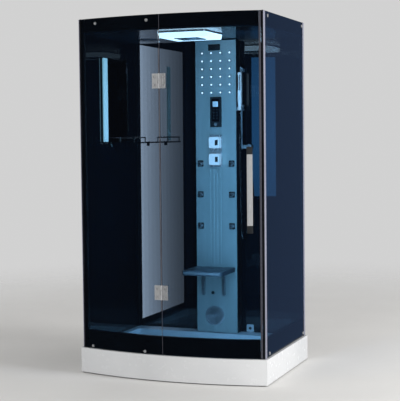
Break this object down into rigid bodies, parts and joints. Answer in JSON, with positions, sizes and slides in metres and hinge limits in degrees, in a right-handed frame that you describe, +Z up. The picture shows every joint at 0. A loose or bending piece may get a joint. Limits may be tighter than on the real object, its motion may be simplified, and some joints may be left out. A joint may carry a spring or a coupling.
{
  "type": "corner steam shower cabin",
  "caption": "Rectangular corner steam shower cabin: white tray with a bowed front, blue tinted glass with a swing door, black wall panels, shower column with seat and hand shower.",
  "frame": {"origin": "on the floor, under the middle of the tray's outline", "axes": "+X to the right seen from the door, +Y from the door to the back wall, +Z up"},
  "size_m": [1.2, 0.9, 2.15],
  "materials": {
    "white_acrylic": "glossy moulded acrylic",
    "black_glass": "polished black back-painted glass",
    "black_rail": "satin black",
    "tinted_glass": "clear blue tint",
    "clear_glass": "polished",
    "mirror_glass": "silvered",
    "chrome": "polished",
    "chromed_plastic": "chrome plated",
    "satin_aluminium": "satin anodised",
    "galvanised_steel": "zinc plated",
    "brass": "raw casting",
    "black_plastic": "fine moulded grain",
    "grey_panel": "glossy blue-grey moulded",
    "lit_diffuser": "frosted and lit from inside",
    "seat_plastic": "smoke blue moulded",
    "steel_hose": "spiral wound steel"
  },
  "bodies": {
    "cabin": {"tray": "white_acrylic", "left_wall": "black_glass", "back_wall": "black_glass", "bottom_rail_front": "black_rail", "bottom_rail_right": "black_rail", "top_rail_front": "black_rail", "top_rail_right": "black_rail", "top_rail_left": "black_rail", "top_rail_back": "black_rail", "post_front_right": "black_rail", "post_front_left": "black_rail", "post_back_right": "black_rail", "post_back_left": "black_rail", "fixed_glass": "tinted_glass", "side_glass": "tinted_glass", "glass_shelf": "clear_glass", "mirror": "mirror_glass", "hinge_lower_fixed": "chrome", "hinge_upper_fixed": "chrome", "valve_plate": "chrome", "seat_pin": "chrome", "slide_bar": "chrome", "steam_outlet": "chromed_plastic", "column_casing": "satin_aluminium", "frame_tube_front": "galvanised_steel", "frame_tube_back": "galvanised_steel", "seat_bracket_left": "galvanised_steel", "seat_bracket_right": "galvanised_steel", "valve_block": "brass", "drain_body": "black_plastic", "foot_front_left": "black_plastic", "foot_front_right": "black_plastic", "foot_back_left": "black_plastic", "foot_back_right": "black_plastic", "rain_head": "black_plastic", "fan_housing": "black_plastic", "control_panel": "black_plastic", "steam_generator": "black_plastic", "ceiling_panel": "grey_panel", "ceiling_light": "lit_diffuser", "hose": "steel_hose", "steam_pipe": "steel_hose"},
    "door": {"door_glass": "tinted_glass", "hinge_lower_door": "chrome", "hinge_upper_door": "chrome", "door_handle": "chrome"},
    "seat": {"seat_panel": "seat_plastic"},
    "mixer": {"mixer_knob": "chromed_plastic"},
    "diverter": {"diverter_knob": "chromed_plastic"},
    "button": {"power_button": "chromed_plastic"},
    "holder": {"bar_holder": "chrome"},
    "hand_shower": {"handset": "chromed_plastic"},
    "fan": {"fan_rotor": "black_plastic"},
    "drain_lid": {"drain_cover": "chrome"},
    "jet_top_left": {"body_jet_top_left": "chromed_plastic"},
    "jet_middle_left": {"body_jet_middle_left": "chromed_plastic"},
    "jet_bottom_left": {"body_jet_bottom_left": "chromed_plastic"},
    "jet_top_right": {"body_jet_top_right": "chromed_plastic"},
    "jet_middle_right": {"body_jet_middle_right": "chromed_plastic"},
    "jet_bottom_right": {"body_jet_bottom_right": "chromed_plastic"}
  },
  "joints": [
    {"name": "door_hinge", "type": "hinge", "parent": "cabin", "child": "door", "pos_m": [-0.028, -0.442, 1.1445], "axis": [0, 0, -1], "range_deg": [0, 95]},
    {"name": "seat_fold", "type": "hinge", "parent": "cabin", "child": "seat", "pos_m": [0.02, 0.326, 0.576], "axis": [-1, 0, 0], "range_deg": [0, 88]},
    {"name": "mixer_turn", "type": "hinge", "parent": "cabin", "child": "mixer", "pos_m": [0.023, 0.341, 1.397], "axis": [0, -1, 0], "range_deg": [-90, 90]},
    {"name": "diverter_turn", "type": "hinge", "parent": "cabin", "child": "diverter", "pos_m": [0.023, 0.341, 1.289], "axis": [0, -1, 0], "range_deg": [-135, 135]},
    {"name": "button_press", "type": "slide", "parent": "cabin", "child": "button", "axis": [0, 1, 0], "range_m": [0, 0.003], "stiffness_N_per_m": 400},
    {"name": "holder_slide", "type": "slide", "parent": "cabin", "child": "holder", "axis": [0, 0, 1], "range_m": [-0.2, 0.18], "deforming": ["hose"]},
    {"name": "handset_tilt", "type": "hinge", "parent": "holder", "child": "hand_shower", "pos_m": [0.18, 0.362, 1.612], "axis": [1, 0, 0], "range_deg": [0, 30]},
    {"name": "fan_spin", "type": "hinge", "parent": "cabin", "child": "fan", "pos_m": [-0.38, 0.18, 2.0874], "axis": [0, 0, 1], "continuous": true},
    {"name": "drain_lift", "type": "slide", "parent": "cabin", "child": "drain_lid", "axis": [0, 0, 1], "range_m": [0, 0.12]},
    {"name": "jet_swivel_top_left", "type": "hinge", "parent": "cabin", "child": "jet_top_left", "pos_m": [-0.088, 0.352, 1.261], "axis": [1, 0, 0], "range_deg": [-12, 12]},
    {"name": "jet_swivel_middle_left", "type": "hinge", "parent": "cabin", "child": "jet_middle_left", "pos_m": [-0.088, 0.352, 1.06], "axis": [1, 0, 0], "range_deg": [-12, 12]},
    {"name": "jet_swivel_bottom_left", "type": "hinge", "parent": "cabin", "child": "jet_bottom_left", "pos_m": [-0.088, 0.352, 0.855], "axis": [1, 0, 0], "range_deg": [-12, 12]},
    {"name": "jet_swivel_top_right", "type": "hinge", "parent": "cabin", "child": "jet_top_right", "pos_m": [0.128, 0.352, 1.261], "axis": [1, 0, 0], "range_deg": [-12, 12]},
    {"name": "jet_swivel_middle_right", "type": "hinge", "parent": "cabin", "child": "jet_middle_right", "pos_m": [0.128, 0.352, 1.06], "axis": [1, 0, 0], "range_deg": [-12, 12]},
    {"name": "jet_swivel_bottom_right", "type": "hinge", "parent": "cabin", "child": "jet_bottom_right", "pos_m": [0.128, 0.352, 0.855], "axis": [1, 0, 0], "range_deg": [-12, 12]}
  ]
}
